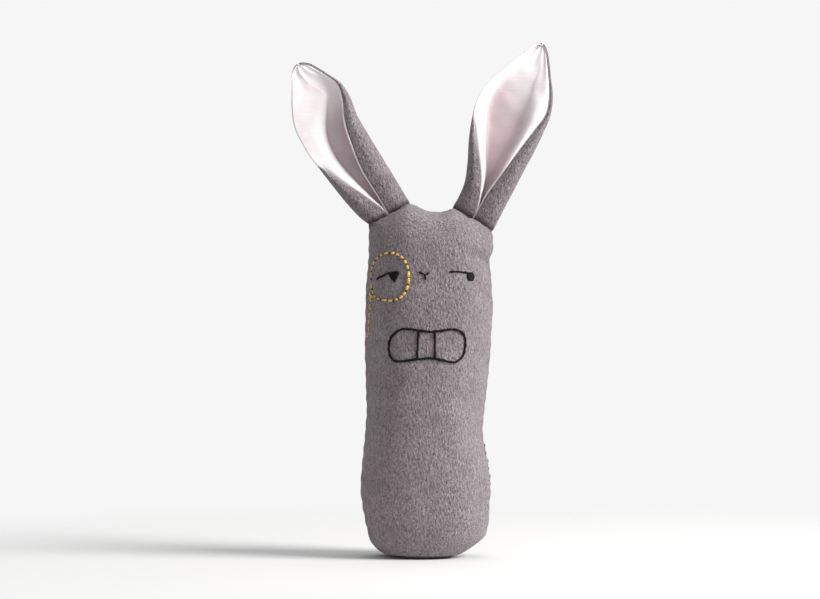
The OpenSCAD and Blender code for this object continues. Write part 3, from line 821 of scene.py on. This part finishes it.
def make_face():
    mouth = back_stitches(closed_route(MOUTH), BLACK_R, BLACK_STITCH)
    stitches_object("mouth", mouth, BLACK, "mouth_stitches")
    teeth = [part for line in TEETH
             for part in back_stitches(open_route(line), BLACK_R * 0.95, BLACK_STITCH)]
    stitches_object("teeth", teeth, BLACK, "teeth_stitches")
    left = back_stitches(open_route(LEFT_LID), BLACK_R * 0.9, LID_STITCH, jitter=0.04)
    left += satin_fill(LEFT_PUPIL, 0.52, 0.40)
    stitches_object("left_eye", left, BLACK, "left_eye_stitches")
    turns = np.linspace(0, 2 * math.pi, 20, endpoint=False)
    x, z = RIGHT_PUPIL_MIDDLE
    pupil = [(x + RIGHT_PUPIL_R * math.cos(t), z + RIGHT_PUPIL_R * math.sin(t)) for t in turns]
    right = back_stitches(open_route(RIGHT_LID), BLACK_R * 0.8, BLACK_STITCH, jitter=0.04)
    right += satin_fill(pupil, 0.50, 0.38)
    stitches_object("right_eye", right, BLACK, "right_eye_stitches")
    nose = [part for line in NOSE
            for part in back_stitches(open_route(line), BLACK_R * 0.72, BLACK_STITCH, jitter=0.03)]
    stitches_object("nose", nose, BLACK, "nose_stitches")


def monocle_place(turn):
    """Point on the monocle's rim, which is a little squarer than an ellipse."""
    across, up = math.cos(turn), math.sin(turn)
    power = MONOCLE_POWER + MONOCLE_CORNER * max(0, -across) * max(0, -up)
    shares = [math.copysign(abs(s) ** (2 / power), s) for s in (across, up)]
    return tuple(m + h * s for m, h, s in zip(MONOCLE_MIDDLE, MONOCLE_HALF, shares))


def make_monocle():
    gold, dark = [], []
    pitch = 2 * math.pi / MONOCLE_STITCHES
    for k in range(MONOCLE_STITCHES):
        start = k * pitch + rng.uniform(-0.03, 0.03)
        share = rng.uniform(0.62, 0.82)
        thick = GOLD_R * (0.84 + 0.16 * math.cos(start)) * rng.uniform(0.9, 1.08)
        gold.append(stitch(monocle_place(start), monocle_place(start + share * pitch), thick, rise=0.5))
        # A short dark stitch in the middle of each gap: painted shade between the gold stitches.
        gap = start + (share + 1) / 2 * pitch
        ends = monocle_place(gap - DARK_HALF_TURN), monocle_place(gap + DARK_HALF_TURN)
        dark.append(stitch(*ends, GOLD_R * 0.62, rise=0.1))
    stitches_object("monocle_rim", gold, GOLD, "monocle_rim_stitches")
    stitches_object("monocle_dark", dark, GAP_SHADE, "monocle_dark_stitches")
    cord = [stitch(*CORD_KNOT, GOLD_R, rise=0.8)]
    for k, ((xa, za), (xb, zb)) in enumerate(zip(CORD[:-1], CORD[1:])):
        end = (xa + (xb - xa) * CORD_SHARE, za + (zb - za) * CORD_SHARE)
        cord.append(stitch((xa, za), end, GOLD_R * (0.9 - 0.07 * k), rise=0.5))
    stitches_object("monocle_cord", cord, GOLD, "monocle_cord_stitches")


# ---------------------------------------------------------------- ears


def ear_guides(ear):
    """Distances up the ear and its guide lines there, drawn in to a round tip."""
    s = ear["stations"]
    tip = s[-1, 0]
    straight = np.linspace(s[0, 0], tip - TIP_ROUND, EAR_ROWS - TIP_ROWS)
    turn = np.linspace(0, 1, TIP_ROWS + 1)[1:] * math.radians(TIP_TURN)
    up = np.concatenate([straight, tip - TIP_ROUND + TIP_ROUND * np.sin(turn)])
    guides = smooth_curve(s[:, 0], s[:, 1:], up)
    narrow = np.sqrt(np.clip(1 - (np.clip(up - tip + TIP_ROUND, 0, None) / TIP_ROUND) ** 2, 0, 1))
    middle = guides[:, [0, 5]].mean(axis=1, keepdims=True)
    guides[:, :6] = middle + (guides[:, :6] - middle) * narrow[:, None]
    return up, guides


def drawn_line(control, count):
    """Smooth line through control points, as count points."""
    return smooth_curve(np.arange(len(control)), np.array(control), np.linspace(0, len(control) - 1, count))


LINING_SPAN = 10  # The lining has 11 control points a row, so its places across run from 0 to 10


def lining_grid(ear):
    """Satin lining: rolled edges by the two seams and a channel between the two creases.

    Also gives the painted shade of each point, from 0 to 1: strongest in the channel, heavier towards one
    side of it and fading out up the ear.
    """
    up, guides = ear_guides(ear)
    place = np.linspace(0, LINING_SPAN, LINING_COLUMNS)
    # Painted shade across the lining: in the channel between the creases, heavier towards the ear's shaded
    # side.
    channel = ease(place, 2.2, 3.4) * (1 - ease(place, 6.8, 8.2))
    lean = 0.62 + 0.38 * ear["shaded_side"] * (place - 5) / 3
    rows, shades = [], []
    for v, (sl, rl, cl, cr, rr, _, yl, yr, floor, _) in zip(up, guides):
        wl, wr = cl - rl, rr - cr
        roll_l, roll_r = 0.5 * min(1, wl / 3), 0.45 * min(1, wr / 2)
        rolled = 1 - ease(rl - sl, 0.4, 1.8)
        control = [
            (rl + 0.1 * min(1, wl) - 0.7 * rolled, yl + 0.55 - 0.95 * rolled),
            (rl + wl * 0.22, yl - roll_l + 0.3), (rl + wl * 0.58, yl - roll_l + 0.7),
            (cl - wl * 0.08, yl + (floor - yl) * 0.45), (cl + (cr - cl) * 0.06, floor - 0.25),
            ((cl + cr) / 2, floor), (cr - (cr - cl) * 0.06, floor - 0.25),
            (cr + wr * 0.14, yr + (floor - yr) * 0.5), (cr + wr * 0.42, yr - roll_r + 0.8),
            (rr - wr * 0.22, yr - roll_r + 0.35), (rr - 0.1 * min(1, wr), yr + 0.55),
        ]
        rows.append(np.column_stack([drawn_line(control, LINING_COLUMNS), np.full(LINING_COLUMNS, v)]))
        # Painted shade up the ear: strongest at the foot and gone by fold_top.
        height = (1 - ease(v, 0.7 * ear["fold_top"], ear["fold_top"])) * (0.50 + 0.50 * math.exp(-v / 18))
        shades.append(channel * lean * height)
    grid = np.array(rows)
    soft = grid.reshape(-1, 3)
    inner = np.tile(np.clip(np.minimum(place, LINING_SPAN - place) / 2, 0, 1), EAR_ROWS)
    soft[:, 1] += 0.22 * wobble(soft, 14, 21) * inner + 0.10 * wobble(soft, 5, 22) * inner
    return soft.reshape(grid.shape), np.array(shades)


def wool_grid(ear):
    """Outer wool: round both sides of the ear from seam to seam, with the painted shade at its foot."""
    up, guides = ear_guides(ear)
    rows = []
    for v, (sl, rl, _, _, rr, sr, yl, yr, _, back) in zip(up, guides):
        fold_l = min(1.0, (rl - sl) / 3.0)
        fold_r = min(1.0, (sr - rr) / 3.0)
        back_l = (yl + 2.1) * (1 - fold_l) + back * fold_l
        back_r = (yr + 2.1) * (1 - fold_r) + back * fold_r
        wide = (sr - sl) / 2
        middle = (sl + sr) / 2
        turn = min(1.0, wide * 0.1)
        control = [
            (rl, yl), (rl + (sl - rl) * 0.5, yl - 0.45 * fold_l),
            (rl + (sl - rl) * 0.86, yl + (back_l - yl) * 0.16),
            (sl, yl + (back_l - yl) * 0.5), (sl + turn, yl + (back_l - yl) * 0.9),
            (sl + wide * 0.35, back_l * 0.2 + back * 0.8), (middle - wide * 0.25, back + 0.15),
            (middle + wide * 0.25, back + 0.15), (sr - wide * 0.35, back_r * 0.2 + back * 0.8),
            (sr - turn, yr + (back_r - yr) * 0.9), (sr, yr + (back_r - yr) * 0.5),
            (rr + (sr - rr) * 0.86, yr + (back_r - yr) * 0.16),
            (rr + (sr - rr) * 0.5, yr - 0.55 * fold_r), (rr, yr),
        ]
        rows.append(np.column_stack([drawn_line(control, WOOL_COLUMNS), np.full(WOOL_COLUMNS, v)]))
    grid = np.array(rows)
    # Painted shade at the ear's foot, where it meets the body.
    shade = 0.8 * np.exp(-((grid[..., 2] - 0.2) / 1.2) ** 2)
    return grid, shade


EDGE_R = 0.16
EDGE_PITCH = 0.5


def bend_with(obj):
    """Bakes the placement of a piece of the ear into its mesh."""
    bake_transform(obj)


def ear_sheet(name, ear, grid, shade, thickness, offset, material, nodes):
    """A sheet of cloth of the ear that stands on the torso at its foot, thickened to a closed one."""
    points = ear_to_frame(ear, grid).reshape(-1, 3)
    obj = mesh_object(name, points, grid_faces(*grid.shape[:2]), material, shade=shade.ravel())
    thicken(obj, thickness, offset)
    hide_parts(*nodes)
    bend_with(obj)
    return obj


def edge_thread(ear, wool):
    """The seam between wool and lining round the ear, as a twisted thread in the join."""
    side = ear["body"]
    line = np.concatenate([wool[:, 0], wool[::-1, -1]])
    points = ear_to_frame(ear, line[None])[0]
    points[:, 1] += 0.3
    points = resampled(points, EDGE_PITCH)
    normals = np.tile(np.array([0.0, -1.0, 0.0]), (len(points), 1))
    mesh_points, faces = tube(points, normals, np.full(len(points), EDGE_R))
    obj = mesh_object(side + "_edge_seam", mesh_points, faces, LINING_THREAD)
    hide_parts(side + "_edge_thread")
    bend_with(obj)


def make_ear(ear):
    side = ear["body"]
    wool, shade = wool_grid(ear)
    ear_sheet(side + "_outer", ear, wool, shade, WOOL_T, 1, WOOL,
              [side + "_wool", side + "_base"])
    # The second value from lining_grid is the lining's painted shade.
    lining, depth = lining_grid(ear)
    ear_sheet(side + "_satin", ear, lining, depth, LINING_T, -1, LINING,
              [side + "_lining"])
    edge_thread(ear, wool)


# ---------------------------------------------------------------- whole toy

front = make_body()
front_surface = BVHTree.FromPolygons([v.co for v in front.data.vertices],
                                     [p.vertices for p in front.data.polygons])
make_face()
make_monocle()
make_ear(LEFT_EAR)
make_ear(RIGHT_EAR)

# ---------------------------------------------------------------- floor, light and world

FLOOR_RADIUS = 0.32


def make_floor():
    """A pale disc under the toy that fades into the pale surroundings."""
    bpy.ops.mesh.primitive_circle_add(vertices=96, radius=FLOOR_RADIUS, fill_type="NGON",
                                      location=(0, 0, -0.0002))
    floor = bpy.context.object
    floor.name = "floor"
    m = Nodes("pale_floor", roughness=0.9, specular=0.0)
    place = m.add("ShaderNodeTexCoord")
    length = m.add("ShaderNodeVectorMath", operation="LENGTH")
    m.link(place.outputs["Object"], length.inputs[0])
    m.shader.inputs["Base Color"].default_value = (0.72, 0.72, 0.72, 1)
    share = m.math("DIVIDE", length.outputs["Value"], FLOOR_RADIUS)
    fade = m.ramp(share, [(0.25, grey(1.0)), (0.98, grey(0.0))])
    m.link(fade, m.shader.inputs["Alpha"])
    floor.data.materials.append(m.material)


def area_light(name, place, target, size, power, colour=(1, 1, 1)):
    data = bpy.data.lights.new(name, "AREA")
    data.shape = "DISK"
    data.size = size
    data.energy = power
    data.color = colour
    lamp = bpy.data.objects.new(name, data)
    bpy.context.scene.collection.objects.link(lamp)
    lamp.location = place
    lamp.rotation_euler = (Vector(target) - Vector(place)).to_track_quat("-Z", "Y").to_euler()


def make_light():
    middle = (0, 0, 0.1)
    area_light("key", (1.05, -0.42, 0.72), middle, 0.75, 27.5, (1.0, 0.985, 0.97))
    area_light("fill", (-0.3, -1.3, 0.5), middle, 1.0, 2.2, (0.96, 0.98, 1.0))
    area_light("top", (0.1, 0.3, 1.2), middle, 0.8, 3.3)
    world = bpy.data.worlds.new("world")
    world.use_nodes = True
    tree = world.node_tree
    shown = tree.nodes["Background"]
    shown.inputs["Color"].default_value = srgb(246, 246, 246)
    dim = tree.nodes.new("ShaderNodeBackground")
    dim.inputs["Color"].default_value = (1, 1, 1, 1)
    dim.inputs["Strength"].default_value = 0.42
    path = tree.nodes.new("ShaderNodeLightPath")
    mix = tree.nodes.new("ShaderNodeMixShader")
    tree.links.new(path.outputs["Is Camera Ray"], mix.inputs["Fac"])
    tree.links.new(dim.outputs[0], mix.inputs[1])
    tree.links.new(shown.outputs[0], mix.inputs[2])
    tree.links.new(mix.outputs[0], tree.nodes["World Output"].inputs["Surface"])
    bpy.context.scene.world = world
    bpy.context.scene.view_settings.view_transform = "Standard"


make_floor()
make_light()
